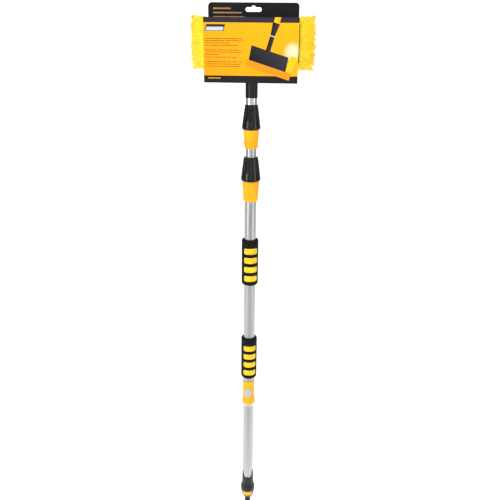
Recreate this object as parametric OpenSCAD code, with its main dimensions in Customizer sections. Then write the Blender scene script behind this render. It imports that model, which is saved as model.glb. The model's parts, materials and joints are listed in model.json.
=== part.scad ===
// Telescopic flow-through wash brush, upright, collapsed.
// The origin is the centre of the hose nipple's end, the pole runs up +Z and the front is -Y.

/* [Tubes] */
// Outside diameter of the outer tube
outer_d = 28; // [26:0.5:32]
// Outside diameter of the middle tube
middle_d = 24; // [21:0.5:24]
// Outside diameter of the inner tube
inner_d = 20; // [17:0.5:20]
// Wall of every tube
tube_wall = 1.2; // [0.9:0.1:1.3]
// Length of the handle tube below the tap
handle_tube_l = 290; // [230:2:340]
// Length of the outer tube above the tap
outer_tube_l = 551.5; // [460:0.5:680]
// Length of middle tube that shows above the outer tube's mouth at rest
middle_reach = 116; // [100:1:160]
// Length of inner tube that shows above the middle tube's mouth at rest
inner_reach = 66; // [62:1:80]

/* [Hose connector] */
// Diameter of the hose nipple
nipple_d = 15.5; // [14:0.1:17]
// Length of the hose nipple
nipple_l = 18; // [17:0.5:24]
// Bore of the water way
water_d = 7; // [5:0.5:8]
// Largest diameter of the connector body
connector_d = 39.5; // [37:0.5:44]
// Height of the connector body
connector_h = 58; // [54:1:70]
// Length of the end collar
end_collar_l = 36; // [34:1:48]

/* [Tap] */
// Length of the tap body
tap_l = 68; // [66:1:90]
// Diameter of the tap body at its waist
tap_waist_d = 30.4; // [30.4:0.2:34]
// Diameter of the tap body at its rim
tap_rim_d = 34.6; // [34:0.2:40]
// Travel of the thumb pad
tap_travel = 8; // [5:0.5:8]

/* [Grips] */
// Diameter of the foam grips
grip_d = 40; // [38:0.5:46]
// Length of each foam grip
grip_l = 117; // [112:1:140]
// Gap between the tap and the lower grip
lower_grip_gap = 12; // [10:1:40]
// Distance between the bottoms of the two grips
grip_spacing = 264; // [240:2:320]

/* [Twist locks] */
// Visible length of the lower yellow collar
lower_collar_l = 48; // [44:1:60]
// Length of the lower lock nut
lower_nut_l = 55; // [52:1:66]
// Largest diameter of the lower lock nut
lower_nut_d = 45.6; // [45:0.2:54]
// Visible length of the upper yellow collar
upper_collar_l = 42; // [38:1:52]
// Length of the upper lock nut
upper_nut_l = 54; // [51:1:66]
// Largest diameter of the upper lock nut
upper_nut_d = 42; // [41:0.2:50]

/* [Brush head] */
// Width of the brush block
block_w = 200; // [160:2:240]
// Height of the brush block
block_h = 92; // [76:1:110]
// Thickness of the brush block
block_t = 26; // [24:1:32]
// Length of the bristles
bristle_l = 38; // [30:1:46]
// How far the bristles flare at each end
end_flare = 37; // [20:1:45]
// Diameter of the brush neck
neck_d = 27; // [26:0.5:32]

/* [Sales card] */
// Width of the card
card_w = 196; // [150:2:230]
// Thickness of the card
card_t = 0.8; // [0.6:0.1:1.2]
// Height of the front panel
card_front_h = 128; // [110:1:140]
// Height of the header above the fold
card_header_h = 32; // [28:1:44]

/* [Hidden] */
$fn = 64;
play = 0.3; // gap between curved faces that move on each other
cut = 1; // how far a cutter runs past the face it opens

// radii of the tubes and their bores
outer_r = outer_d / 2;
outer_bore = outer_r - tube_wall;
middle_r = middle_d / 2;
middle_bore = middle_r - tube_wall;
inner_r = inner_d / 2;
inner_bore = inner_r - tube_wall;
water_r = water_d / 2;

// heights along the pole
nose_h = 2; // flange between the nipple and the connector
connector_z = nipple_l + nose_h - 2;
collar_z = connector_z + connector_h;
socket_depth = 14; // how far the handle tube enters the connector
handle_z = collar_z - socket_depth;
handle_top = handle_z + handle_tube_l;
tap_socket = 11; // depth of the tap's lower socket
tap_z = handle_top - tap_socket;
tap_top = tap_z + tap_l;
tap_block = 42.5; // solid length between the tap's two sockets
outer_z = handle_top + tap_block;
outer_top = outer_z + outer_tube_l;
lower_grip_z = tap_top + lower_grip_gap;
upper_grip_z = lower_grip_z + grip_spacing;
collar_seat = 3; // the tube's mouth stands this far above the yellow collar's visible part
lower_nut_z = outer_top - collar_seat;
middle_top = outer_top + middle_reach;
upper_nut_z = middle_top - collar_seat;
inner_top = middle_top + inner_reach;
ferrule_z = upper_nut_z + upper_nut_l + play;
guide_flange = 12;
guide_spigot = 12;
guide_clear = 14; // room above the tap for the open spool when the middle section goes fully in
middle_guide_z = tap_top + guide_clear;
middle_z = middle_guide_z + guide_flange;
inner_guide_z = middle_z + guide_spigot + 4;
inner_z = inner_guide_z + guide_flange;

// tap details
spool_r = 8;
spool_l = 42;
spool_z = handle_top + 2;
pad_w = 17;
pad_h = 34;
pad_t = 2.2;
pad_z = tap_z + 36.5; // middle of the thumb pad
stem_w = 5;
stem_h = 4;
stem_z = spool_z + 14;

// twist lock details
nut_flutes = 16;
flute_r = 1.9;
thread_pitch = 3;
collet_slots = 6;

// brush head details
neck_z = inner_top + play;
neck_straight = 42; // cylindrical part of the neck
spigot_l = 38; // how far the spigot stands above the inner tube
spigot_r = inner_bore + 0.6;
neck_bore = spigot_r + play;
block_z = neck_z + 65.2;
block_mid = block_z + block_h / 2;
block_y = -14; // middle of the block's thickness
block_front = block_y - block_t / 2;
block_back = block_y + block_t / 2;
block_round = 12;
shell = 2.5;
plate_t = 5;
gasket_t = 2;
screw_x = block_w * 0.4;
screw_rows = block_h / 2 - 12;

// release button details
button_w = 8;
button_h = 11;
button_z = inner_top + 16;
button_l = 7.3;
button_proud = 0.3;

// card details
card_half_depth = 40.4;
card_fold_z = block_z + block_h + 3.5;
card_top_z = card_fold_z + card_header_h;
slot_z = card_top_z - 14;
slot_w = 35;
slot_h = 9;

black = [0.09, 0.09, 0.1];
yellow = [0.97, 0.76, 0.05];
silver = [0.78, 0.79, 0.8];

// a ring of square section: outer radius, inner radius, height
module ring(r_out, r_in, h) {
    difference() {
        cylinder(r = r_out, h = h);
        translate([0, 0, -cut]) cylinder(r = r_in, h = h + 2 * cut);
    }
}

// a toroidal seal around Z
module o_ring(mid_r, wire_r) {
    rotate_extrude() translate([mid_r, 0]) circle(r = wire_r, $fn = 24);
}

// a flat rounded rectangle made of squares and circles
module rounded(w, h, r) {
    square([w - 2 * r, h], center = true);
    square([w, h - 2 * r], center = true);
    for (x = [-1, 1], y = [-1, 1]) translate([x * (w / 2 - r), y * (h / 2 - r)]) circle(r = r);
}

// stands a flat outline up in the XZ plane and runs it from y0 to y1
module along_y(y0, y1) {
    translate([0, y1, 0]) rotate([90, 0, 0]) linear_extrude(y1 - y0) children();
}

// ---------- hose connector ----------

// radius of the connector bell at share t of its height, 0 at the nose and 1 at the collar
function bell_r(t) = t < 0.66
    ? nipple_d / 2 + 0.9 + (connector_d / 2 - nipple_d / 2 - 0.9) * pow(sin(90 * t / 0.66), 0.7)
    : outer_r + 2 + (connector_d / 2 - outer_r - 2) * (0.5 + 0.5 * cos(180 * (t - 0.66) / 0.34));
bell_wall = 2.4;
bell_steps = 16;
cavity_low = 0.07; // share of the height where the yellow sleeve starts
cavity_top = 0.56; // share of the height where it ends
web_z = connector_z + connector_h * cavity_top;
window_low = 0.24;
window_top = 0.53;

module bell_solid(inset, t0, t1) {
    n = bell_steps;
    rotate_extrude() polygon(concat(
        [[0, connector_h * t0]],
        [for (i = [0 : n]) let (t = t0 + (t1 - t0) * i / n) [bell_r(t) - inset, connector_h * t]],
        [[0, connector_h * t1]]));
}

module bell_windows(shrink) {
    w0 = bell_r(window_low) * 0.7 - shrink;
    w1 = bell_r(window_top) * 0.7 - shrink;
    z0 = connector_h * window_low + shrink;
    z1 = connector_h * window_top - shrink;
    for (side = [-1, 1]) along_y(side > 0 ? 3 : -connector_d, side > 0 ? connector_d : -3)
        polygon([[-w0, z0], [w0, z0], [w1, z1], [-w1, z1]]);
}

module hose_nipple() {
    groove_z = 6;
    latch_z = nipple_l - 4;
    r = nipple_d / 2;
    stem_top = web_z + 4 - connector_z;
    color(black) difference() {
        union() {
            rotate_extrude() polygon([[0, 0], [r - 2.2, 0], [r - 0.8, 0.8], [r, 2.4], [r, groove_z],
                [r - 1.8, groove_z], [r - 1.8, groove_z + 2.4], [r, groove_z + 2.4], [r, latch_z],
                [r - 1.2, latch_z + 0.6], [r - 1.2, nipple_l - 0.6], [r + 0.6, nipple_l],
                [r + 0.6, nipple_l + nose_h], [0, nipple_l + nose_h]]);
            translate([0, 0, nipple_l]) cylinder(r = water_r + 2.4, h = stem_top + connector_z - nipple_l);
        }
        translate([0, 0, -cut]) cylinder(r = water_r, h = stem_top + connector_z + 2 * cut);
    }
}

module nipple_o_ring() {
    color("dimgray") translate([0, 0, 7.2]) o_ring(nipple_d / 2 - 0.9, 0.9);
}

module connector_body() {
    color(black) difference() {
        translate([0, 0, connector_z]) bell_solid(0, 0, 1);
        // nose bore and the cone that holds the yellow sleeve
        translate([0, 0, -cut]) cylinder(r = nipple_d / 2 + 0.6, h = nipple_l + nose_h + cut);
        translate([0, 0, nipple_l]) cylinder(r = water_r + 2.4, h = connector_h);
        translate([0, 0, connector_z]) bell_solid(bell_wall, cavity_low, cavity_top);
        translate([0, 0, connector_z]) bell_windows(0);
        // filter chamber and tube socket
        translate([0, 0, web_z + 4]) cylinder(r = outer_bore, h = connector_h);
        translate([0, 0, handle_z]) cylinder(r = outer_r, h = connector_h);
    }
}

module connector_sleeve() {
    color(yellow) translate([0, 0, connector_z]) difference() {
        union() {
            bell_solid(bell_wall, cavity_low, cavity_top);
            intersection() {
                bell_solid(0.5, window_low, window_top);
                bell_windows(0.15);
            }
        }
        translate([0, 0, -cut]) cylinder(r = water_r + 2.4, h = connector_h);
    }
}

module filter_washer() {
    color("dimgray") translate([0, 0, web_z + 4]) ring(outer_bore, 8.5, 2);
}

module hose_filter() {
    cup_r = 8;
    cup_l = 20;
    color("gainsboro") translate([0, 0, web_z + 6]) difference() {
        union() {
            cylinder(r = outer_bore, h = 1.6);
            cylinder(r = cup_r, h = cup_l);
        }
        translate([0, 0, -cut]) cylinder(r = cup_r - 1, h = cup_l - 1 + cut);
        for (row = [0 : 2], a = [0 : 60 : 359]) translate([0, 0, 5 + 4.5 * row]) rotate([0, 0, a + 30 * row])
            rotate([0, 90, 0]) cylinder(r = 1.3, h = cup_r + cut, $fn = 16);
    }
}

module end_collar() {
    lobe_r = 6.4;
    lobe_x = 6;
    lobe_z = collar_z + end_collar_l * 0.68;
    color(black) difference() {
        union() {
            translate([0, 0, collar_z]) cylinder(r1 = outer_r + 2, r2 = outer_r + 1.7, h = end_collar_l * 0.6);
            translate([0, 0, collar_z + end_collar_l * 0.6])
                cylinder(r1 = outer_r + 1.7, r2 = outer_r + 0.7, h = end_collar_l * 0.4);
        }
        translate([0, 0, collar_z - cut]) cylinder(r = outer_r, h = end_collar_l + 2 * cut);
        for (x = [-lobe_x, lobe_x]) translate([x, 0, 0]) along_y(-outer_r - 4, outer_r + 4) {
            translate([0, lobe_z]) circle(r = lobe_r);
            translate([-lobe_r, lobe_z]) square([2 * lobe_r, end_collar_l]);
        }
    }
}

module handle_tube() {
    color(silver) translate([0, 0, handle_z]) ring(outer_r, outer_bore, handle_tube_l);
}

// ---------- tap ----------

// radius of the tap body at height h above its foot
function tap_r(h) = h < 28
    ? tap_waist_d / 2 + (tap_rim_d - tap_waist_d) / 2 * pow((28 - h) / 22, 2) * (h < 6 ? pow((h + 16) / 22, 1.4) : 1)
    : tap_waist_d / 2 + 0.35 * (h - 28) / (tap_l - 28);

module tap_ring() {
    ring_h = 8;
    color("silver") translate([0, 0, tap_z - ring_h]) ring(outer_r + 1, outer_r, ring_h);
}

module valve_body() {
    steps = 20;
    edge = 1.2;
    slot_gap = 0.5;
    slot_z0 = stem_z - slot_gap;
    slot_h0 = stem_h + tap_travel + 2 * slot_gap;
    color(yellow) difference() {
        translate([0, 0, tap_z]) rotate_extrude() polygon(concat(
            [[0, 0], [tap_r(0) - 1, 0]],
            [for (i = [1 : steps]) let (h = (tap_l - edge) * i / steps) [tap_r(h), h]],
            [[tap_r(tap_l) - edge / 2, tap_l], [0, tap_l]]));
        translate([0, 0, tap_z - cut]) cylinder(r = outer_r, h = tap_socket + cut);
        translate([0, 0, outer_z]) cylinder(r = outer_r, h = tap_l);
        translate([0, 0, handle_top - cut]) cylinder(r = spool_r, h = tap_block + 2 * cut);
        translate([-stem_w / 2 - slot_gap, -tap_rim_d, slot_z0]) cube([stem_w + 2 * slot_gap, tap_rim_d, slot_h0]);
    }
}

// a lens of two arcs with its two tips cut off
module pad_outline() {
    lobe = (pad_h * pad_h / 4 + pad_w * pad_w / 4) / pad_w;
    intersection() {
        translate([lobe - pad_w / 2, 0]) circle(r = lobe);
        translate([pad_w / 2 - lobe, 0]) circle(r = lobe);
        square([pad_w + 2, pad_h - 3], center = true);
    }
}

module valve_pad() {
    inner = tap_waist_d / 2 + 0.35 + play;
    neck_y = spool_r - play - 1;
    color("silver") {
        intersection() {
            translate([0, 0, pad_z - pad_h / 2]) ring(inner + pad_t, inner, pad_h);
            translate([0, 0, pad_z]) along_y(-inner - pad_t - 2, -inner / 2) pad_outline();
        }
        translate([-stem_w / 2, -inner - 1, stem_z]) cube([stem_w, inner + 1 - neck_y, stem_h]);
    }
}

module valve_spool() {
    r = spool_r - play;
    seal_z = [2, 27.5, 37.5];
    color("white") translate([0, 0, spool_z]) difference() {
        cylinder(r = r, h = spool_l);
        translate([0, 0, -cut]) cylinder(r = 5, h = spool_l - 5 + cut);
        for (z = seal_z) translate([0, 0, z]) ring(r + cut, r - 1.6, 2);
        for (a = [0, 90]) translate([0, 0, 33.5]) rotate([90, 0, a]) cylinder(r = 2, h = 3 * r, center = true);
        translate([-stem_w / 2, -r - cut, stem_z - spool_z]) cube([stem_w, cut + 1, stem_h]);
    }
}

module spool_seals() {
    color("dimgray") for (z = [3, 28.5, 38.5]) translate([0, 0, spool_z + z]) o_ring(spool_r - play - 0.8, 0.8);
}

// ---------- tubes and grips ----------

module outer_tube() {
    color(silver) translate([0, 0, outer_z]) ring(outer_r, outer_bore, outer_tube_l);
}

window_turn = 10.5;
window_h = 15;
window_pitch = 23.4;
window_first = 19.5; // middle of the lowest window above the grip's bottom
window_depth = 3;

module grip_windows(z, width, out_r) {
    rotate([0, 0, window_turn]) for (i = [0 : 3])
        translate([0, 0, z + window_first + window_pitch * i]) intersection() {
            translate([0, 0, -window_h]) ring(out_r, grip_d / 2 - window_depth, 2 * window_h);
            along_y(-grip_d, -1) rounded(width, window_h, 3.5);
        }
}

module foam_grip(z) {
    round_r = 5;
    r = grip_d / 2;
    color(black) difference() {
        translate([0, 0, z]) rotate_extrude() {
            square([r - round_r, grip_l]);
            translate([0, round_r]) square([r, grip_l - 2 * round_r]);
            for (h = [round_r, grip_l - round_r]) translate([r - round_r, h]) circle(r = round_r);
        }
        translate([0, 0, z - cut]) cylinder(r = outer_r, h = grip_l + 2 * cut);
        grip_windows(z, grip_d * 0.78, r + cut);
    }
}

module lower_grip() {
    foam_grip(lower_grip_z);
}

module lower_grip_windows() {
    color(yellow) grip_windows(lower_grip_z, grip_d * 0.78, grip_d / 2 - 0.3);
}

module upper_grip() {
    foam_grip(upper_grip_z);
}

module upper_grip_windows() {
    color(yellow) grip_windows(upper_grip_z, grip_d * 0.78, grip_d / 2 - 0.3);
}

// ---------- twist locks ----------

// radii of a lock that clamps a tube of radius tube_r inside a nut of diameter nut_d
function nut_top_r(tube_r) = tube_r + 4.6;
function cone_low_r(nut_d) = nut_d / 2 - 5.6;
function cone_top_r(tube_r) = tube_r + 1.3;
spigot_h = 18; // threaded spigot above the yellow collar
rim_h = 8; // length of the nut's plain mouth

// z: bottom of the nut; socket_r: tube that the collar is fixed on; tube_r: tube that slides in it
module clamp_collar(z, visible_l, nut_d, socket_r, tube_r) {
    low_r = socket_r + (nut_d / 2 - socket_r) * 0.39;
    top_r = low_r + 2.3;
    spigot = cone_low_r(nut_d) - play - 0.6;
    ribs = 24;
    color(yellow) difference() {
        union() {
            translate([0, 0, z - visible_l]) rotate_extrude() polygon([[0, 0], [low_r - 2.6, 0], [low_r - 1, 0.8],
                [low_r - 0.3, 2], [low_r, 4], [top_r, visible_l], [0, visible_l]]);
            translate([0, 0, z]) cylinder(r = spigot, h = spigot_h);
            for (i = [0 : 3]) translate([0, 0, z + 3 + thread_pitch * i])
                rotate_extrude() polygon([[0, 0], [spigot, 0], [spigot + 0.6, 0.7], [spigot, 1.4], [0, 1.4]]);
        }
        for (i = [0 : ribs - 1]) rotate([0, 0, 360 / ribs * i]) translate([low_r + 1.35, 0, z - visible_l + 7])
            rotate([0, atan(2.3 / (visible_l - 4)), 0]) cylinder(r = 1.6, h = visible_l - 13, $fn = 16);
        translate([0, 0, z - visible_l - cut]) cylinder(r = socket_r, h = visible_l + collar_seat + cut);
        translate([0, 0, z]) cylinder(r = tube_r + play, h = spigot_h + cut);
        translate([0, 0, z + 10]) cylinder(r = tube_r + 2, h = 4);
    }
}

module wiper(z, tube_r) {
    color("dimgray") translate([0, 0, z + 10]) ring(tube_r + 2, tube_r + play, 4);
}

module collet(z, nut_d, nut_l, tube_r) {
    foot = z + spigot_h;
    height = nut_l - spigot_h - rim_h - 2;
    low = cone_low_r(nut_d) - play - 0.3;
    top = cone_top_r(tube_r) + 0.2;
    color("white") difference() {
        translate([0, 0, foot]) cylinder(r1 = low, r2 = top, h = height);
        translate([0, 0, foot - cut]) cylinder(r = tube_r + play, h = height + 2 * cut);
        for (i = [0 : collet_slots - 1]) rotate([0, 0, 360 / collet_slots * i])
            translate([0, -0.6, foot + 4]) cube([low + cut, 1.2, height]);
    }
}

module lock_nut(z, nut_d, nut_l, tube_r) {
    low_r = nut_d / 2;
    top_r = nut_top_r(tube_r);
    band_h = nut_l * 0.38; // plain band below the flutes
    round_h = 5;
    cone_h = nut_l - round_h - 1.5;
    lean = atan((low_r - top_r) / cone_h);
    cone_low = cone_low_r(nut_d) + 0.3;
    cone_top = cone_top_r(tube_r) + 0.9;
    color(black) difference() {
        translate([0, 0, z]) rotate_extrude() polygon([[0, 0], [low_r - 2.4, 0], [low_r - 1, 0.9], [low_r - 0.3, 2.3],
            [low_r, round_h], [top_r, nut_l - 1.5], [top_r - 0.6, nut_l - 0.3], [top_r - 1.2, nut_l], [0, nut_l]]);
        // flutes follow the cone and end round at the band
        for (i = [0 : nut_flutes - 1]) rotate([0, 0, 360 / nut_flutes * i])
            translate([low_r + 0.3 - tan(lean) * (band_h - round_h), 0, z + band_h]) rotate([0, -lean, 0]) {
                translate([0, 0, flute_r]) cylinder(r = flute_r, h = nut_l, $fn = 24);
                translate([0, 0, flute_r]) sphere(r = flute_r, $fn = 24);
            }
        // thread relief, clamping cone and the hole for the sliding tube
        translate([0, 0, z - cut]) cylinder(r = cone_low, h = spigot_h + cut);
        translate([0, 0, z + spigot_h]) cylinder(r1 = cone_low, r2 = cone_top, h = nut_l - spigot_h - rim_h);
        translate([0, 0, z + spigot_h]) cylinder(r = tube_r + play, h = nut_l);
    }
}

module lower_collar() {
    clamp_collar(lower_nut_z, lower_collar_l, lower_nut_d, outer_r, middle_r);
}

module lower_wiper() {
    wiper(lower_nut_z, middle_r);
}

module lower_collet() {
    collet(lower_nut_z, lower_nut_d, lower_nut_l, middle_r);
}

module lower_lock_nut() {
    lock_nut(lower_nut_z + play, lower_nut_d, lower_nut_l - play, middle_r);
}

module upper_collar() {
    clamp_collar(upper_nut_z, upper_collar_l, upper_nut_d, middle_r, inner_r);
}

module upper_wiper() {
    wiper(upper_nut_z, inner_r);
}

module upper_collet() {
    collet(upper_nut_z, upper_nut_d, upper_nut_l, inner_r);
}

module upper_lock_nut() {
    lock_nut(upper_nut_z + play, upper_nut_d, upper_nut_l - play, inner_r);
}

// ---------- sliding sections ----------

// plug in a tube's lower end: the flange guides it in the next tube and carries the seal
module tube_guide(z, flange_r, plug_r) {
    color(black) translate([0, 0, z]) difference() {
        union() {
            cylinder(r = flange_r, h = guide_flange);
            cylinder(r = plug_r, h = guide_flange + guide_spigot);
        }
        translate([0, 0, 5]) ring(flange_r + cut, flange_r - 1.8, 2.4);
        translate([0, 0, -cut]) cylinder(r = water_r, h = guide_flange + guide_spigot + 2 * cut);
    }
}

module guide_seal(z, flange_r) {
    color("dimgray") translate([0, 0, z + 6.2]) o_ring(flange_r - 0.9, 0.9);
}

module middle_tube() {
    color(silver) translate([0, 0, middle_z]) ring(middle_r, middle_bore, middle_top - middle_z);
}

module middle_guide() {
    tube_guide(middle_guide_z, outer_bore - play, middle_bore);
}

module middle_guide_seal() {
    guide_seal(middle_guide_z, outer_bore - play);
}

module inner_tube() {
    color(silver) translate([0, 0, inner_z]) ring(inner_r, inner_bore, inner_top - inner_z);
}

module inner_guide() {
    tube_guide(inner_guide_z, middle_bore - play, inner_bore);
}

module inner_guide_seal() {
    guide_seal(inner_guide_z, middle_bore - play);
}

module ferrule() {
    h = inner_top - ferrule_z;
    r = neck_d / 2 - 0.3;
    color("silver") translate([0, 0, ferrule_z]) difference() {
        rotate_extrude() polygon([[0, 0], [r - 0.6, 0], [r, 0.6], [r, h * 0.28], [r - 0.6, h * 0.32],
            [r - 0.6, h * 0.38], [r, h * 0.42], [r, h * 0.6], [r - 0.6, h * 0.64], [r - 0.6, h * 0.7],
            [r, h * 0.74], [r, h - 0.6], [r - 0.6, h], [0, h]]);
        translate([0, 0, -cut]) cylinder(r = inner_r, h = h + 2 * cut);
    }
}

// ---------- head spigot and release ----------

way_y = 4; // the water way passes behind the button's pocket
way_r = 3.8;
pocket_y = -1.2; // floor of the button's pocket

module button_outline(grow) {
    r = button_w / 2 + grow;
    straight = button_h - button_w / 2;
    translate([0, straight - button_h / 2]) circle(r = r);
    translate([-r, -button_h / 2 - grow]) square([2 * r, straight + grow]);
}

module head_spigot() {
    plug_l = 26;
    color("gainsboro") difference() {
        union() {
            translate([0, 0, inner_top - plug_l]) cylinder(r = inner_bore, h = plug_l);
            translate([0, 0, inner_top]) cylinder(r = spigot_r, h = spigot_l);
        }
        translate([0, way_y, inner_top - plug_l - cut]) cylinder(r = way_r, h = plug_l + spigot_l + 2 * cut);
        for (z = [26, 31]) translate([0, 0, inner_top + z]) ring(spigot_r + cut, spigot_r - 1.1, 1.6);
        translate([0, 0, button_z]) along_y(-spigot_r - cut, pocket_y) button_outline(play);
    }
}

module spigot_seals() {
    color("dimgray") for (z = [26.8, 31.8]) translate([0, 0, inner_top + z]) o_ring(spigot_r - 0.55, 0.55);
}

module release_button() {
    front = -neck_d / 2 - button_proud;
    cup = 2.6;
    color([0.2, 0.2, 0.21]) translate([0, 0, button_z]) difference() {
        along_y(front, front + button_l) button_outline(0);
        translate([0, front + button_l + cut, 0]) rotate([90, 0, 0]) cylinder(r = cup, h = button_l - 2 + cut);
    }
}

// return spring in the button's cup, a helix wound along Y
module release_spring() {
    turns = 5;
    wire = 0.35;
    coil_r = 2.05;
    per_turn = 14;
    sides = 6;
    y0 = -neck_d / 2 - button_proud + 2 + wire;
    y1 = pocket_y - wire;
    last = turns * per_turn;
    points = [for (i = [0 : last], k = [0 : sides - 1])
        let (a = 360 * i / per_turn, b = 360 * k / sides, r = coil_r + wire * cos(b))
            [r * cos(a), y0 + (y1 - y0) * i / last + wire * sin(b), r * sin(a)]];
    walls = [for (i = [0 : last - 1], k = [0 : sides - 1])
        let (n = (k + 1) % sides)
            [i * sides + k, i * sides + n, (i + 1) * sides + n, (i + 1) * sides + k]];
    low_end = [for (k = [sides - 1 : -1 : 0]) k];
    high_end = [for (k = [0 : sides - 1]) last * sides + k];
    color("silver") translate([0, 0, button_z]) polyhedron(points, concat(walls, [low_end, high_end]));
}

// ---------- brush head ----------

module block_outline(inset) {
    translate([0, block_mid]) rounded(block_w - 2 * inset, block_h - 2 * inset, block_round - inset);
}

module head_housing() {
    throat_w = 46;
    neck_flutes = 14;
    blind = spigot_l + 1;
    chamber = block_back - plate_t - gasket_t;
    color(black) difference() {
        union() {
            along_y(block_front + 4, block_back) block_outline(0);
            along_y(block_front + 1.2, block_front + 4) block_outline(1.2);
            along_y(block_front, block_front + 1.2) block_outline(4);
            translate([0, 0, neck_z]) cylinder(r = neck_d / 2, h = neck_straight);
            hull() {
                translate([0, 0, neck_z + neck_straight - 0.5]) cylinder(r = neck_d / 2, h = 0.5, $fn = 32);
                translate([-throat_w / 2, block_front + 3, block_z + 1]) cube([throat_w, block_t - 5, 1]);
            }
        }
        // flutes round the neck
        for (i = [0 : neck_flutes - 1]) rotate([0, 0, 360 / neck_flutes * (i + 0.5)])
            translate([neck_d / 2 + 1, 0, neck_z + 4]) cylinder(r = 1.5, h = neck_straight - 8, $fn = 16);
        // socket, water way and button hole
        translate([0, 0, neck_z - cut]) cylinder(r = neck_bore, h = blind + cut);
        translate([0, 0, neck_z]) cylinder(r = 5.5, h = block_z - neck_z + 8);
        translate([0, 0, button_z]) along_y(-neck_d, -2) button_outline(play);
        // water chamber and the seat of gasket and plate
        difference() {
            along_y(block_front + shell, chamber + cut) block_outline(5);
            for (x = [-1, 0, 1], side = [-1, 1]) translate([screw_x * x, 0, block_mid + screw_rows * side])
                rotate([90, 0, 0]) cylinder(r = 4.5, h = 3 * block_t, center = true);
        }
        along_y(chamber, block_back + cut) block_outline(2.5);
        for (x = [-1, 0, 1], side = [-1, 1]) translate([screw_x * x, block_back, block_mid + screw_rows * side])
            rotate([90, 0, 0]) cylinder(r = 1.5, h = 20);
    }
}

module head_gasket() {
    color("dimgray") difference() {
        along_y(block_back - plate_t - gasket_t, block_back - plate_t) block_outline(2.5);
        along_y(block_back - plate_t - gasket_t - cut, block_back - plate_t + cut) block_outline(5);
    }
}

module bristle_plate() {
    cols = 13;
    rows = 5;
    pitch_x = (block_w - 30) / (cols - 1);
    pitch_z = (block_h - 30) / (rows - 1);
    color(black) difference() {
        along_y(block_back - plate_t, block_back) block_outline(2.5);
        for (i = [0 : cols - 1], j = [0 : rows - 1])
            translate([pitch_x * (i - (cols - 1) / 2), block_back + cut, block_mid + pitch_z * (j - (rows - 1) / 2)])
                rotate([90, 0, 0]) cylinder(r = 2.2, h = 3 + cut, $fn = 16);
        for (x = [-1, 0, 1], side = [-1, 1]) translate([screw_x * x, block_back + cut, block_mid + screw_rows * side]) {
            rotate([90, 0, 0]) cylinder(r = 3.2, h = 2 + cut);
            rotate([90, 0, 0]) cylinder(r = 1.5, h = plate_t + 2 * cut);
        }
        for (x = [-2.5, -1.5, -0.5, 0.5, 1.5, 2.5])
            translate([pitch_x * 2 * x, block_back + cut, block_mid + pitch_z / 2])
                rotate([90, 0, 0]) cylinder(r = 1, h = plate_t + 2 * cut, $fn = 16);
    }
}

module head_screws() {
    color("silver") for (x = [-1, 0, 1], side = [-1, 1])
        translate([screw_x * x, block_back, block_mid + screw_rows * side]) rotate([90, 0, 0]) difference() {
            union() {
                cylinder(r = 3.2, h = 2);
                cylinder(r = 1.5, h = 16);
            }
            for (a = [0, 90]) rotate([0, 0, a]) translate([-2, -0.4, -cut]) cube([4, 0.8, 1 + cut]);
        }
}

// one closed solid per end and one between them, each flaring from the plate to the tips
module bristles() {
    end_x = card_w / 2 + 1;
    side_rise = 10.5;
    tip_y = block_back + bristle_l;
    top_z = card_fold_z - card_t - play; // the card's fold rests on the bristles
    low_z = block_z - side_rise;
    color(yellow) {
        hull() {
            along_y(block_back, block_back + 1) translate([0, block_mid]) rounded(block_w - 10, block_h - 10, 8);
            along_y(tip_y - 8, tip_y) translate([0, (top_z + low_z) / 2]) rounded(2 * end_x, top_z - low_z, 10);
        }
        for (side = [-1, 1]) hull() {
            along_y(block_back, block_back + 1) translate([side * (block_w / 2 - 8), block_mid])
                rounded(6, block_h - 14, 2.9);
            along_y(block_back + bristle_l * 0.45, tip_y - 4)
                translate([side * (end_x + block_w / 2 + end_flare) / 2, block_mid])
                    rounded(block_w / 2 + end_flare - end_x, block_h + 2 * side_rise, 14);
        }
    }
}

// ---------- sales card ----------

module sales_card() {
    h = card_half_depth;
    back_h = 100;
    color(yellow) difference() {
        union() {
            translate([-card_w / 2, -h, card_fold_z - card_front_h]) cube([card_w, card_t, card_front_h]);
            translate([-card_w / 2, -h, card_fold_z - card_t]) cube([card_w, 2 * h, card_t]);
            along_y(h - card_t, h) difference() {
                translate([0, card_top_z - (back_h + card_header_h) / 2])
                    rounded(card_w, back_h + card_header_h, 8);
            }
        }
        // hang slot with a raised middle
        along_y(h - card_t - cut, h + cut) {
            translate([0, slot_z]) rounded(slot_w, slot_h, slot_h / 2 - 0.01);
            translate([0, slot_z + 3]) circle(r = 5);
        }
    }
}

hose_nipple();
nipple_o_ring();
connector_body();
connector_sleeve();
filter_washer();
hose_filter();
end_collar();
handle_tube();
tap_ring();
valve_body();
outer_tube();
lower_grip();
lower_grip_windows();
upper_grip();
upper_grip_windows();
lower_collar();
lower_wiper();
lower_collet();
valve_pad();
valve_spool();
spool_seals();
lower_lock_nut();
middle_tube();
middle_guide();
middle_guide_seal();
upper_collar();
upper_wiper();
upper_collet();
upper_lock_nut();
inner_tube();
inner_guide();
inner_guide_seal();
ferrule();
head_spigot();
spigot_seals();
release_spring();
release_button();
head_housing();
head_gasket();
bristle_plate();
head_screws();
bristles();
sales_card();
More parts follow.
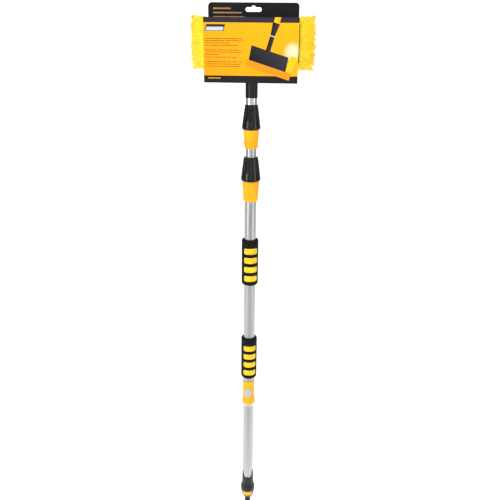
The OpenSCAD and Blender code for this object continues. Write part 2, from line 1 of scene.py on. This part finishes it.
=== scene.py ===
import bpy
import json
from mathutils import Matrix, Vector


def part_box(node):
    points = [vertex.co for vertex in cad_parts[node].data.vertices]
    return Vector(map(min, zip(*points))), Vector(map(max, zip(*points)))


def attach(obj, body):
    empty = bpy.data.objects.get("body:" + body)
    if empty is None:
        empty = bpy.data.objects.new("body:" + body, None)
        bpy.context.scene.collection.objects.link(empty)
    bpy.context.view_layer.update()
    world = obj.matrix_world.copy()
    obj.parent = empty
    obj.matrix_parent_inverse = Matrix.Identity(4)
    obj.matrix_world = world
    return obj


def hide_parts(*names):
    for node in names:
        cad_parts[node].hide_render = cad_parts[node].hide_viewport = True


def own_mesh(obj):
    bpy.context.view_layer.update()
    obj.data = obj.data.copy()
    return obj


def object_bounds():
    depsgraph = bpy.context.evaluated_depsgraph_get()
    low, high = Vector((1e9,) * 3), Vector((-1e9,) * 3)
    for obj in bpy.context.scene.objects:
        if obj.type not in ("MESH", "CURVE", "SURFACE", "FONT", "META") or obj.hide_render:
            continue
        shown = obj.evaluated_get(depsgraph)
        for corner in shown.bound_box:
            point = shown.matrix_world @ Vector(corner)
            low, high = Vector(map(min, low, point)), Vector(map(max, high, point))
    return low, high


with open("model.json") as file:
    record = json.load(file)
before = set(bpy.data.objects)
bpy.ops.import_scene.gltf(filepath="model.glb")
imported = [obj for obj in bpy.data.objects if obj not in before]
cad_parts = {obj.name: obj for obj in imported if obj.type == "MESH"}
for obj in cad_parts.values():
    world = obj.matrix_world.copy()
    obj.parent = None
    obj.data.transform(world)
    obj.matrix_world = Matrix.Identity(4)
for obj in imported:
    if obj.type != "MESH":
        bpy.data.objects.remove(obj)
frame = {"nodes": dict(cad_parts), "record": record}
cadBox = [list(corner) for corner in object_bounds()]

import json
import math
import random

import bmesh
import bpy
from mathutils import Matrix, Vector

scene = bpy.context.scene
nodes = frame["nodes"]
mm = 0.001


def low(node):
    return Vector(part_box(node)[0])


def high(node):
    return Vector(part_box(node)[1])


def smoothStep(value, start, end):
    share = min(1.0, max(0.0, (value - start) / (end - start)))
    return share * share * (3 - 2 * share)


# camera
cameraSetup = {
    "standoff": 1264 * mm,      # from the pole's axis
    "height": 1245 * mm,
    "pitch": 20.5,              # degrees down
    "roll": 0.58,
    "round": 3.5,               # degrees round the pole towards its right
    "lens": 40.36,
    "sensor": 36,
    "nearest": 0.05,
    "farthest": 50,
}


def makeCamera(setup):
    lens = bpy.data.cameras.new("frontCamera")
    lens.lens = setup["lens"]
    lens.sensor_width = setup["sensor"]
    lens.clip_start = setup["nearest"]
    lens.clip_end = setup["farthest"]
    camera = bpy.data.objects.new("frontCamera", lens)
    scene.collection.objects.link(camera)
    tilt = Matrix.Rotation(math.radians(90 - setup["pitch"]), 4, "X")
    roll = Matrix.Rotation(math.radians(setup["roll"]), 4, "Z")
    place = Matrix.Translation((0, -setup["standoff"], setup["height"]))
    camera.matrix_world = Matrix.Rotation(math.radians(setup["round"]), 4, "Z") @ place @ tilt @ roll
    scene.camera = camera


makeCamera(cameraSetup)
scene.view_settings.view_transform = "Standard"
print("camera set")


# shader maths
class Field:
    # a shader value that Python sums can use
    def __init__(self, surface, socket):
        self.surface = surface
        self.socket = socket

    def combine(self, operation, first, second=0.0):
        made = self.surface.add("ShaderNodeMath", {"operation": operation}, {0: first, 1: second})
        return Field(self.surface, made.outputs[0])

    def __add__(self, other):
        return self.combine("ADD", self, other)

    __radd__ = __add__

    def __sub__(self, other):
        return self.combine("SUBTRACT", self, other)

    def __rsub__(self, other):
        return self.combine("SUBTRACT", other, self)

    def __mul__(self, other):
        return self.combine("MULTIPLY", self, other)

    __rmul__ = __mul__

    def __abs__(self):
        return self.combine("ABSOLUTE", self)

    def __lt__(self, other):
        return self.combine("LESS_THAN", self, other)

    def __gt__(self, other):
        return self.combine("GREATER_THAN", self, other)

    def clamped(self):
        made = self.surface.add("ShaderNodeClamp", {}, {"Value": self})
        return Field(self.surface, made.outputs[0])

    def sharpened(self, start, end):
        made = self.surface.add("ShaderNodeMapRange", {"interpolation_type": "SMOOTHSTEP"},
                                {"Value": self, "From Min": start, "From Max": end})
        return Field(self.surface, made.outputs[0])


class Surface:
    # one Principled material and the nodes that feed it
    def __init__(self, name, settings):
        self.material = bpy.data.materials.new(name)
        self.material.use_nodes = True
        self.tree = self.material.node_tree
        self.shader = self.tree.nodes["Principled BSDF"]
        for socket, value in settings.items():
            self.shader.inputs[socket].default_value = value
        self.place = self.add("ShaderNodeTexCoord").outputs["Object"]

    def add(self, kind, settings=None, values=None):
        made = self.tree.nodes.new(kind)
        for key, value in (settings or {}).items():
            setattr(made, key, value)
        for key, value in (values or {}).items():
            self.feed(made.inputs[key], value)
        return made

    def feed(self, socket, value):
        if isinstance(value, Field):
            value = value.socket
        if isinstance(value, bpy.types.NodeSocket):
            self.tree.links.new(value, socket)
        else:
            socket.default_value = value

    def stretched(self, scale):
        return self.add("ShaderNodeMapping", {}, {"Vector": self.place, "Scale": scale}).outputs[0]

    def axes(self):
        split = self.add("ShaderNodeSeparateXYZ", {}, {"Vector": self.place})
        return [Field(self, split.outputs[i]) for i in range(3)]

    def noise(self, scale, detail=3.0, roughness=0.5, vector=None):
        made = self.add("ShaderNodeTexNoise", {}, {"Vector": vector or self.place, "Scale": scale,
                                                   "Detail": detail, "Roughness": roughness})
        return Field(self, made.outputs[0])

    def cells(self, scale):
        made = self.add("ShaderNodeTexVoronoi", {"feature": "F1"}, {"Vector": self.place, "Scale": scale})
        return Field(self, made.outputs["Distance"])

    def blend(self, share, first, second):
        made = self.add("ShaderNodeMix", {"data_type": "RGBA"}, {0: share, 6: first, 7: second})
        return made.outputs[2]

    def color(self, value):
        self.feed(self.shader.inputs["Base Color"], value)

    def rough(self, value):
        self.feed(self.shader.inputs["Roughness"], value)

    def bump(self, height, strength, distance):
        made = self.add("ShaderNodeBump", {}, {"Strength": strength, "Distance": distance, "Height": height})
        self.feed(self.shader.inputs["Normal"], made.outputs[0])


def linear(value):
    return value / 12.92 if value <= 0.04045 else ((value + 0.055) / 1.055) ** 2.4


def ink(red, green, blue):
    # a colour as a screen shows it, made linear
    return (linear(red), linear(green), linear(blue), 1)


tubeFinish = {
    "dark": ink(0.65, 0.65, 0.66),
    "light": ink(0.76, 0.76, 0.77),
    "coat": 0.08,
    "drawn": (1500, 1500, 6),    # fine lines along the tube
    "cloudy": 9,
    "rough": 0.27,
}


def tubeMetal(look):
    s = Surface("anodisedAluminium", {"Metallic": 1.0, "Coat Weight": look["coat"]})
    drawn = s.noise(1.0, 4, 0.6, s.stretched(look["drawn"]))
    cloudy = s.noise(look["cloudy"], 2)
    s.color(s.blend((drawn * 0.5 + cloudy * 0.5).clamped(), look["dark"], look["light"]))
    s.rough(drawn * 0.14 + cloudy * 0.08 + look["rough"])
    s.bump(drawn, 0.12, 0.1 * mm)
    return s.material


def mouldedPlastic(name, dark, light, roughness, grain=1400, depth=0.06, gloss=0.5):
    s = Surface(name, {"Specular IOR Level": gloss})
    cloudy = s.noise(30, 3)
    fine = s.noise(grain, 2)
    s.color(s.blend(cloudy.sharpened(0.3, 0.7), dark, light))
    s.rough(cloudy * 0.10 + fine * 0.06 + (roughness - 0.08))    # the noises add 0.08 between them
    s.bump(fine, depth, 0.2 * mm)
    return s.material


def satinMetal(name, dark, light):
    s = Surface(name, {"Metallic": 0.9})
    turned = s.noise(1.0, 3, 0.5, s.stretched((60, 60, 2600)))    # rings round the piece
    s.color(s.blend(turned, dark, light))
    s.rough(turned * 0.12 + 0.24)
    s.bump(turned, 0.08, 0.1 * mm)
    return s.material


foamFinish = {
    # darker colour at the pore dents: painted shade
    "paintedPoreShade": ink(0.025, 0.025, 0.028),
    "skin": ink(0.07, 0.07, 0.075),
    "poreScale": 1300,
    "softScale": 160,
    "rough": 0.68,
}


def closedFoam(look):
    s = Surface("closedFoam", {"Specular IOR Level": 0.14, "Sheen Weight": 0.03, "Sheen Roughness": 0.5})
    pores = s.cells(look["poreScale"])
    soft = s.noise(look["softScale"], 3)
    # the pore dents are painted darker: painted shade in the dents
    s.color(s.blend(pores.sharpened(0.1, 0.6), look["paintedPoreShade"], look["skin"]))
    s.rough(soft * 0.15 + look["rough"])
    s.bump(pores * 0.7 + soft * 0.5, 0.35, 0.35 * mm)
    return s.material


inlayFinish = {
    "dark": ink(0.93, 0.76, 0.01),
    "light": ink(0.99, 0.85, 0.05),
    "rough": 0.42,
}


def rubberInlay(look):
    s = Surface("rubberInlay", {"Specular IOR Level": 0.45})
    soft = s.noise(90, 3)
    fine = s.noise(1100, 2)
    s.color(s.blend(soft.sharpened(0.35, 0.65), look["dark"], look["light"]))
    s.rough(fine * 0.12 + look["rough"])
    s.bump(fine * 0.6 + soft * 0.6, 0.14, 0.3 * mm)
    return s.material


fibreFinish = {
    "dark": ink(1.0, 0.87, 0.05),
    "light": ink(1.0, 0.95, 0.26),
    "drift": ink(1.0, 0.82, 0.05),
    "glow": 0.16,                # painted glow: the fibres emit light, standing in for light let through by the thin fibres
    "rough": 0.55,
}


def bristleFibre(look):
    s = Surface("bristleFibre", {"Specular IOR Level": 0.25, "Sheen Weight": 0.25, "Sheen Roughness": 0.4,
                                 "Emission Strength": look["glow"]})
    strand = s.noise(420, 2)
    drift = s.noise(60, 3)
    body = s.blend(strand.sharpened(0.3, 0.7), look["dark"], look["light"])
    tone = s.blend((drift.sharpened(0.4, 0.7) * 0.5), body, look["drift"])
    s.color(tone)
    # the fibres glow in their own colour: painted light
    s.feed(s.shader.inputs["Emission Color"], tone)
    s.rough(strand * 0.2 + look["rough"])
    s.bump(strand + drift, 0.3, 0.5 * mm)
    return s.material


cardPrint = {
    "panelHeight": 128 * mm,     # from the lower edge to the fold
    "skin": 0.3 * mm,            # depth of the printed faces
    "topBand": 10.2 * mm,
    "bottomBand": 14.6 * mm,
    "barLeft": 2.5 * mm,         # from the panel's left edge
    "barHeight": 1.5 * mm,
    "barRows": [(41, 78), (45, 80), (49.5, 52), (54, 68), (63, 70), (67, 76), (71.5, 30), (77, 66),
                (86, 78), (90.5, 74), (95, 72)],    # distance below the fold and length, mm
    "tabSlant": 0.3,
    "tabCentre": (24 * mm, 20 * mm),      # from the left edge and below the fold
    "tabSize": (39 * mm, 13 * mm),
    "tabFaceDrop": 2 * mm,
    "tabFaceSize": (35 * mm, 7 * mm),
    "markCentre": (22 * mm, 9.5 * mm),    # from the left edge and above the lower edge
    "markSize": (26 * mm, 2 * mm),
    "paintedHighlightCentre": (86 * mm, -1 * mm),     # centre of the painted highlight, from the panel's middle
    "paintedHighlightFade": 2600,
    "headerLeft": 11 * mm,
    "headerBarHeight": 3 * mm,
    "headerRows": [(20, 38), (11.5, 62), (3, 68)],  # distance above the fold and length, mm
    "drawingTurn": -17.0,        # degrees
    "drawingCentre": (36 * mm, -19 * mm),
    "handleAt": -6.2 * mm,       # the drawn handle, off the drawn block's middle
}

cardInks = {
    "yellow": ink(1.0, 0.72, 0.0),
    "orange": ink(0.97, 0.62, 0.0),
    "speck": ink(0.95, 0.60, 0.0),
    # the pale colour of the painted highlight on the card
    "glow": ink(1.0, 0.95, 0.85),
    "bars": ink(0.50, 0.20, 0.02),
    "tabEdge": ink(0.20, 0.15, 0.12),
    "tabFace": ink(0.74, 0.82, 0.86),
    "topBand": ink(0.17, 0.15, 0.19),
    "bottomBand": ink(0.10, 0.09, 0.08),
    "mark": ink(0.85, 0.62, 0.05),
    "header": (ink(0.035, 0.035, 0.04), ink(0.075, 0.07, 0.075)),
    "headerBars": ink(0.80, 0.60, 0.38),
    "hairs": (ink(0.92, 0.45, 0.02), ink(1.0, 0.68, 0.10)),
    "hairEnd": (ink(1.0, 0.70, 0.04), ink(1.0, 0.84, 0.12)),
    "block": (ink(0.07, 0.07, 0.09), ink(0.19, 0.19, 0.22)),
    "handle": (ink(0.04, 0.04, 0.05), ink(0.20, 0.20, 0.22)),
    "cap": (ink(1.0, 0.80, 0.10), ink(0.98, 0.66, 0.02)),
    "ring": ink(0.75, 0.76, 0.78),
    "bareBoard": ink(0.72, 0.70, 0.66),
}


def inBox(u, v, centreU, centreV, width, height):
    return (abs(u - centreU) < width / 2) * (abs(v - centreV) < height / 2)


def rowsOfBars(x, z, left, levels, height):
    # one mask for plain bars that start at the same edge; each level is a height and a length
    bars = None
    for level, length in levels:
        bar = inBox(x, z, left + length / 2, level, length, height)
        bars = bar if bars is None else bars + bar
    return bars


def printField(s, x, z, midZ, speck, show, inks):
    # yellow, warmer towards the lower left, with one soft pale painted highlight
    warm = ((z - midZ) * -3.4 + x * -3.0 + 0.45).clamped()
    paper = s.blend(warm, inks["yellow"], inks["orange"])
    paper = s.blend(speck * 0.10, paper, inks["speck"])
    # a round painted highlight, blended in pale over the print
    highlightX, highlightZ = x - show["paintedHighlightCentre"][0], z - (midZ + show["paintedHighlightCentre"][1])
    glow = (1.0 - (highlightX * highlightX + highlightZ * highlightZ) * show["paintedHighlightFade"]).clamped()
    return s.blend(glow * 0.8, paper, inks["glow"])


def printTab(s, paper, x, z, left, foldZ, show, inks):
    level = foldZ - show["tabCentre"][1]
    slantX = x - (z - level) * show["tabSlant"]
    middle = left + show["tabCentre"][0]
    paper = s.blend(inBox(slantX, z, middle, level, *show["tabSize"]), paper, inks["tabEdge"])
    face = inBox(slantX, z, middle, level - show["tabFaceDrop"], *show["tabFaceSize"])
    return s.blend(face, paper, inks["tabFace"])


def printBrush(s, paper, x, z, midZ, show, inks):
    # a plain drawing of a brush, turned
    turn = math.radians(show["drawingTurn"])
    dx, dz = x - show["drawingCentre"][0], z - (midZ + show["drawingCentre"][1])
    u = dx * math.cos(turn) + dz * math.sin(turn)
    v = dz * math.cos(turn) - dx * math.sin(turn)
    ragged = s.noise(260, 2) * (2 * mm)
    comb = Field(s, s.add("ShaderNodeTexWave", {"wave_type": "BANDS", "bands_direction": "X"},
                          {"Vector": s.place, "Scale": 150.0, "Distortion": 3.0}).outputs[1])
    hairEnd = inBox(u - v * 0.12 + ragged, v, 48 * mm, 1 * mm, 14 * mm, 44 * mm)
    paper = s.blend(hairEnd, paper, s.blend(comb, *inks["hairEnd"]))
    hairs = inBox(u + v * 0.1, v + ragged, 4 * mm, -16 * mm, 94 * mm, 15 * mm)
    paper = s.blend(hairs, paper, s.blend(comb, *inks["hairs"]))
    block = inBox(u + v * 0.10, v, 0, 4 * mm, 80 * mm, 29 * mm)
    sheen = ((u + v * 2.0) * 9.0 + 0.45).clamped()
    paper = s.blend(block, paper, s.blend(sheen, *inks["block"]))
    across = u - show["handleAt"]
    roundness = (across * 90 + 0.5).clamped()
    cap = inBox(across, v, 0, 81 * mm, 12 * mm, 16 * mm)
    paper = s.blend(cap, paper, s.blend(roundness, *inks["cap"]))
    stem = inBox(across, v, 0, 32 * mm, 9.5 * mm, 30 * mm)
    grip = (abs(across) < (v - 48 * mm) * 0.12 + 4.6 * mm) * (abs(v - 61 * mm) < 12.5 * mm)
    paper = s.blend((stem + grip).clamped(), paper, s.blend(roundness, *inks["handle"]))
    return s.blend(inBox(across, v, 0, 47.5 * mm, 10.5 * mm, 2.2 * mm), paper, inks["ring"])


def printedCard(show, inks):
    bottomZ, left = low("sales_card").z, low("sales_card").x
    foldZ = bottomZ + show["panelHeight"]
    midZ = (foldZ + bottomZ) / 2
    s = Surface("printedCard", {"Specular IOR Level": 0.2, "Coat Weight": 0.06, "Coat Roughness": 0.3})
    x, y, z = s.axes()
    speck = s.noise(700, 2)
    broken = s.noise(1.0, 2, 0.5, s.stretched((420, 1, 60)))     # breaks the bars up a little
    paper = printField(s, x, z, midZ, speck, show, inks)
    levels = [(foldZ - below * mm, length * mm) for below, length in show["barRows"]]
    bars = rowsOfBars(x, z, left + show["barLeft"], levels, show["barHeight"])
    paper = s.blend(bars * broken.sharpened(0.36, 0.46) * 0.85, paper, inks["bars"])
    paper = printTab(s, paper, x, z, left, foldZ, show, inks)
    paper = s.blend((z > foldZ - show["topBand"]), paper, inks["topBand"])
    paper = s.blend((z < bottomZ + show["bottomBand"]), paper, inks["bottomBand"])
    mark = inBox(x, z, left + show["markCentre"][0], bottomZ + show["markCentre"][1], *show["markSize"])
    paper = s.blend(mark * broken.sharpened(0.3, 0.4), paper, inks["mark"])
    paper = printBrush(s, paper, x, z, midZ, show, inks)
    # the header above the fold, with plain bars at its left
    black = s.blend(s.noise(6, 2).sharpened(0.3, 0.7), *inks["header"])
    levels = [(foldZ + above * mm, length * mm) for above, length in show["headerRows"]]
    headBars = rowsOfBars(x, z, left + show["headerLeft"], levels, show["headerBarHeight"])
    header = s.blend(headBars * broken.sharpened(0.3, 0.4) * 0.8, black, inks["headerBars"])
    panel = s.blend((z > foldZ + 0.05 * mm), paper, header)
    # only the outer faces are printed; the inner ones are bare grey board
    outside = (y < low("sales_card").y + show["skin"]) + (y > high("sales_card").y - show["skin"])
    printed = (outside + (z > foldZ - show["skin"])).clamped()
    s.color(s.blend(printed, inks["bareBoard"], panel))
    s.rough(speck * 0.10 + 0.38)
    s.bump(s.noise(11, 2) * 0.9 + speck * 0.03, 0.25, 1.2 * mm)
    return s.material


blackPlastic = mouldedPlastic("blackPlastic", ink(0.025, 0.025, 0.027), ink(0.06, 0.06, 0.064), 0.26,
                              gloss=0.36)
yellowPlastic = mouldedPlastic("yellowPlastic", ink(0.97, 0.67, 0.0), ink(1.0, 0.75, 0.0), 0.36,
                               1100, 0.05, 0.3)
whitePlastic = mouldedPlastic("whitePlastic", ink(0.84, 0.84, 0.82), ink(0.90, 0.90, 0.88), 0.40)
sealRubber = mouldedPlastic("sealRubber", ink(0.11, 0.11, 0.11), ink(0.16, 0.16, 0.16), 0.60, 900, 0.1)
silverTrim = satinMetal("silverTrim", ink(0.72, 0.74, 0.76), ink(0.86, 0.87, 0.89))
screwSteel = satinMetal("screwSteel", ink(0.60, 0.60, 0.61), ink(0.74, 0.74, 0.75))

finishes = {
    "black_plastic": blackPlastic,
    "yellow_plastic": yellowPlastic,
    "white_plastic": whitePlastic,
    "seal_rubber": sealRubber,
    "silver_trim": silverTrim,
    "steel": screwSteel,
    "aluminium": tubeMetal(tubeFinish),
    "foam": closedFoam(foamFinish),
    "yellow_inlay": rubberInlay(inlayFinish),
    "bristle_fibre": bristleFibre(fibreFinish),
    "card_board": printedCard(cardPrint, cardInks),
}


def dressFrame():
    slots = {row["node"]: row["material_slot"] for row in frame["record"]["subparts"]}
    for name, piece in nodes.items():
        piece.data.materials.clear()
        piece.data.materials.append(finishes[slots[name]])


dressFrame()
print("materials made and given to", len(nodes), "pieces")


def finishPiece(bm, name, body, slot):
    mesh = bpy.data.meshes.new(name)
    bm.to_mesh(mesh)
    bm.free()
    piece = bpy.data.objects.new(name, mesh)
    scene.collection.objects.link(piece)
    mesh.materials.append(finishes[slot])
    for face in mesh.polygons:
        face.use_smooth = True
    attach(piece, body)
    return piece


# soft-edged copies of the foam grips and their inlays
softEdges = {
    "foam": 1.1 * mm,
    "inlay": 0.9 * mm,
    "segments": 3,
    "flatUnder": 0.6,            # degrees between faces that count as one
    "sharpOver": 32,             # degrees between faces whose edge is rounded
}


def softCopy(node, name, slot, width, edges):
    bm = bmesh.new()
    bm.from_mesh(nodes[node].data)
    bmesh.ops.remove_doubles(bm, verts=bm.verts, dist=0.005 * mm)
    bmesh.ops.dissolve_limit(bm, angle_limit=math.radians(edges["flatUnder"]), verts=bm.verts, edges=bm.edges)
    limit = math.radians(edges["sharpOver"])
    sharp = [e for e in bm.edges if len(e.link_faces) == 2 and e.calc_face_angle(0) > limit]
    bmesh.ops.bevel(bm, geom=sharp, offset=width, affect="EDGES", segments=edges["segments"], profile=0.5,
                    material=-1, clamp_overlap=True)
    piece = finishPiece(bm, name, "outer_pole", slot)
    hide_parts(node)
    return piece


for side in ("lower", "upper"):
    sleeve = softCopy(side + "_grip", side + "GripFoam", "foam", softEdges["foam"], softEdges)
    softCopy(side + "_grip_windows", side + "GripInlays", "yellow_inlay", softEdges["inlay"], softEdges)
print("grips softened")


def makeSpring():
    bm = bmesh.new()
    bm.from_mesh(nodes["release_spring"].data)
    bmesh.ops.remove_doubles(bm, verts=bm.verts, dist=0.002 * mm)
    piece = finishPiece(bm, "returnSpring", "inner_section", "steel")
    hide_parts("release_spring")
    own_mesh(piece)


makeSpring()
print("spring made")


# bristles
bristleShape = {
    "columns": 17,
    "rows": 8,
    "rings": 6,
    "strandRadius": 0.75 * mm,
    "length": 37 * mm,
    "deepest": 37.4 * mm,        # past the plate
    "edge": 4 * mm,              # bare edge of the plate
    "sideFlare": 43 * mm,
    "tipHalf": 48 * mm,          # half height of the tips in the middle
    "tipHalfMore": 8 * mm,       # and how much taller they are at the ends
    "middleShare": 0.55,         # of the width, made as a piece of its own
    "spread": (0.052, 0.13),     # how far a strand may stand off its tuft
    "shortest": 0.86,
    "stray": 1.6 * mm,
    "wave": (0.6 * mm, 3.0 * mm),
    "taper": 0.35,
    "lump": 2.2 * mm,
    "massCuts": 39,
    "cardGap": 1.5 * mm,
    "foldDrop": 33.2 * mm,       # from the card's top edge to just under its fold
    "seed": 11,
}
plateY = high("bristle_plate").y
fieldMid = (low("bristle_plate") + high("bristle_plate")) / 2
fieldHalf = (high("bristle_plate") - low("bristle_plate")) / 2
cardSide = high("sales_card").x
foldUnder = high("sales_card").z - bristleShape["foldDrop"]


def bristlePoint(u, w, t, shape):
    # u runs -1..1 across the block, w -1..1 up it, t 0..1 from the plate to the tips
    end = smoothStep(abs(u), 0.45, 1.0)
    baseX = fieldMid.x + u * (fieldHalf.x - shape["edge"])
    baseZ = fieldMid.z + w * (fieldHalf.z - shape["edge"])
    corner = 1 - 0.10 * abs(w) ** 5
    tipX = baseX + math.copysign(shape["sideFlare"] * corner * end ** 1.4, u)
    tipZ = fieldMid.z + w * (shape["tipHalf"] + shape["tipHalfMore"] * end * (1 - 0.25 * end ** 4))
    reach = shape["length"] * (1 - 0.20 * end)
    across = t ** (1.5 - 0.75 * end)
    return Vector((baseX + (tipX - baseX) * across, plateY + reach * (1 - (1 - t) ** 1.2),
                   baseZ + (tipZ - baseZ) * t ** 0.7))


def underFold(place, shape):
    # behind the card nothing stands above its fold
    if abs(place.x) < cardSide + shape["cardGap"]:
        place.z = min(place.z, foldUnder)


def oneStrand(shape):
    bm = bmesh.new()
    ring = bmesh.ops.create_circle(bm, cap_ends=False, segments=3, radius=shape["strandRadius"])["verts"]
    edges = list({e for v in ring for e in v.link_edges})
    for step in range(1, shape["rings"]):
        grown = bmesh.ops.extrude_edge_only(bm, edges=edges)["geom"]
        fresh = [g for g in grown if isinstance(g, bmesh.types.BMVert)]
        edges = [g for g in grown if isinstance(g, bmesh.types.BMEdge) and all(v in fresh for v in g.verts)]
        bmesh.ops.translate(bm, verts=fresh, vec=(0, 0, 1 / (shape["rings"] - 1)))
    bmesh.ops.holes_fill(bm, edges=[e for e in bm.edges if e.is_boundary], sides=3)
    bmesh.ops.recalc_face_normals(bm, faces=bm.faces)
    return bm


def tuftPlaces(shape, inside):
    places = []
    for i in range(shape["columns"]):
        for j in range(shape["rows"]):
            u = -1 + 2 * i / (shape["columns"] - 1)
            w = -1 + 2 * j / (shape["rows"] - 1)
            if (abs(u) < shape["middleShare"]) == inside:
                places.append((u, w))
    return places


def newStrand(tuft, chance, shape):
    spreadU, spreadW = shape["spread"]
    return {
        "u": max(-1.0, min(1.0, tuft[0] + chance.uniform(-1, 1) * spreadU)),
        "w": max(-1.0, min(1.0, tuft[1] + chance.uniform(-1, 1) * spreadW)),
        "length": chance.uniform(shape["shortest"], 1.0),
        "shift": Vector([max(-2.0, min(2.0, chance.gauss(0, 1))) for k in range(3)]) * shape["stray"],
        "wave": chance.uniform(*shape["wave"]),
        "phase": chance.uniform(0, 6.28),
        "lean": chance.uniform(0, 6.28),
    }


def strandTurn(strand, t, shape):
    ahead = bristlePoint(strand["u"], strand["w"], min(1.0, t * strand["length"] + 0.05), shape)
    behind = bristlePoint(strand["u"], strand["w"], max(0.0, t * strand["length"] - 0.05), shape)
    return (ahead - behind).to_track_quat("Z", "Y")


def makeBristles(name, shape, doublings, inside):
    chance = random.Random(shape["seed"] + doublings + (1 if inside else 0))
    bm = oneStrand(shape)
    perStrand = len(bm.verts)
    for step in range(doublings):
        bmesh.ops.duplicate(bm, geom=bm.verts[:] + bm.edges[:] + bm.faces[:])
    bm.verts.index_update()
    tufts = tuftPlaces(shape, inside)
    for order, vert in enumerate(bm.verts):
        if order % perStrand == 0:
            strand = newStrand(tufts[(order // perStrand) % len(tufts)], chance, shape)
            ringNow = -1
        t = vert.co.z
        if abs(t - ringNow) > 0.01:          # the vertices of a ring share one turn
            ringNow = t
            turn = strandTurn(strand, t, shape)
        spine = bristlePoint(strand["u"], strand["w"], t * strand["length"], shape)
        taper = 1.0 - shape["taper"] * t
        curl = strand["wave"] * math.sin(strand["phase"] + 9 * t) * t
        sway = Vector((curl * math.cos(strand["lean"]), 0, curl * math.sin(strand["lean"])))
        place = spine + strand["shift"] * t + sway + turn @ Vector((vert.co.x * taper, vert.co.y * taper, 0))
        underFold(place, shape)
        place.y = min(place.y, plateY + shape["deepest"])
        vert.co = place
    piece = finishPiece(bm, name, "inner_section", "bristle_fibre")
    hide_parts("bristles")


def makeBristleMass(name, shape):
    # the matted fibres under the loose ones, lumpy all over
    bm = bmesh.new()
    bmesh.ops.create_cube(bm, size=2)
    bmesh.ops.subdivide_edges(bm, edges=bm.edges, cuts=shape["massCuts"], use_grid_fill=True)
    chance = random.Random(shape["seed"])
    for vert in bm.verts:
        u, w, t = vert.co.x, vert.co.y, (vert.co.z + 1) / 2
        rounded = 1 - 0.06 * (abs(u) ** 8 * abs(w) ** 4)
        place = bristlePoint(u * 0.98 * rounded, w * 0.95 * rounded, 0.02 + t * 0.90, shape)
        lump = shape["lump"] * t
        place += Vector([chance.uniform(-lump, lump) for k in range(3)])
        underFold(place, shape)
        vert.co = place
    bmesh.ops.smooth_vert(bm, verts=bm.verts, factor=0.35, use_axis_x=True, use_axis_y=True, use_axis_z=True)
    bmesh.ops.recalc_face_normals(bm, faces=bm.faces)
    piece = finishPiece(bm, name, "inner_section", "bristle_fibre")
    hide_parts("bristles")


makeBristles("bristlesAtEnds", bristleShape, 12, False)
makeBristles("bristlesInMiddle", bristleShape, 12, True)
makeBristleMass("bristleMass", bristleShape)
print("bristles made")


# floor, backdrop and light
studio = {
    "floorDrop": 1.0 * mm,
    "depth": 3.0,
    "width": 8.0,
    "height": 5.0,
    "sweep": 1.2,
    "front": 4.0,
    "bendSteps": 16,
    "glow": 0.62,
    "glowFrom": (-0.5, -0.05),   # only the part behind the pole glows
    "sky": 0.28,
}

lamps = {
    "leftStrip": {"place": (-1.5, -1.5, 1.2), "target": (0, 0, 0.7), "size": (0.4, 2.2), "power": 26},
    "rightStrip": {"place": (1.7, -1.1, 1.1), "target": (0, 0, 0.7), "size": (0.3, 2.2), "power": 13},
    "topBox": {"place": (0, -1.0, 3.0), "target": (0, 0.2, 0.6), "size": (2.4, 1.6), "power": 26},
    "frontFill": {"place": (0.2, -2.6, 1.3), "target": (0, 0, 0.8), "size": (2.2, 1.6), "power": 10},
}


def makeBackdrop(show):
    bm = bmesh.new()
    floorZ = cadBox[0][2] - show["floorDrop"]
    start = [bm.verts.new((side * show["width"] / 2, -show["front"], floorZ)) for side in (-1, 1)]
    edge = bm.edges.new(start)
    straight = bmesh.ops.extrude_edge_only(bm, edges=[edge])["geom"]
    line = [g for g in straight if isinstance(g, bmesh.types.BMVert)]
    bmesh.ops.translate(bm, verts=line, vec=(0, show["front"] + show["depth"], 0))
    last = [e for e in bm.edges if all(v in line for v in e.verts)]
    bend = bmesh.ops.spin(bm, geom=last + line, cent=(0, show["depth"], floorZ + show["sweep"]),
                          axis=(1, 0, 0), angle=math.radians(90), steps=show["bendSteps"])["geom_last"]
    top = [g for g in bend if isinstance(g, bmesh.types.BMEdge)]
    wall = bmesh.ops.extrude_edge_only(bm, edges=top)["geom"]
    bmesh.ops.translate(bm, verts=[g for g in wall if isinstance(g, bmesh.types.BMVert)],
                        vec=(0, 0, show["height"]))
    bmesh.ops.recalc_face_normals(bm, faces=bm.faces)
    mesh = bpy.data.meshes.new("backdrop")
    bm.to_mesh(mesh)
    bm.free()
    for face in mesh.polygons:
        face.use_smooth = True
    sheet = bpy.data.objects.new("backdrop", mesh)
    scene.collection.objects.link(sheet)
    s = Surface("backdropPaper", {"Roughness": 0.9, "Specular IOR Level": 0.1,
                                  "Emission Strength": show["glow"]})
    behind = s.axes()[1].sharpened(*show["glowFrom"])
    s.feed(s.shader.inputs["Emission Color"], s.blend(behind, (0, 0, 0, 1), (1, 1, 1, 1)))
    s.color(s.blend(s.noise(3, 2) * 0.2, ink(0.985, 0.985, 0.985), ink(0.97, 0.97, 0.97)))
    mesh.materials.append(s.material)


def makeLight(name, setup):
    lamp = bpy.data.lights.new(name, "AREA")
    lamp.shape = "RECTANGLE"
    lamp.size, lamp.size_y = setup["size"]
    lamp.energy = setup["power"]
    light = bpy.data.objects.new(name, lamp)
    scene.collection.objects.link(light)
    place = Vector(setup["place"])
    aim = (Vector(setup["target"]) - place).to_track_quat("-Z", "Y").to_matrix().to_4x4()
    light.matrix_world = Matrix.Translation(place) @ aim


def makeWorld(show):
    world = bpy.data.worlds.new("studioWorld")
    scene.world = world
    world.use_nodes = True
    sky = world.node_tree.nodes["Background"]
    sky.inputs["Color"].default_value = (1, 1, 1, 1)
    sky.inputs["Strength"].default_value = show["sky"]


makeBackdrop(studio)
makeWorld(studio)
for lampName, lampSetup in lamps.items():
    makeLight(lampName, lampSetup)
print("studio lit")
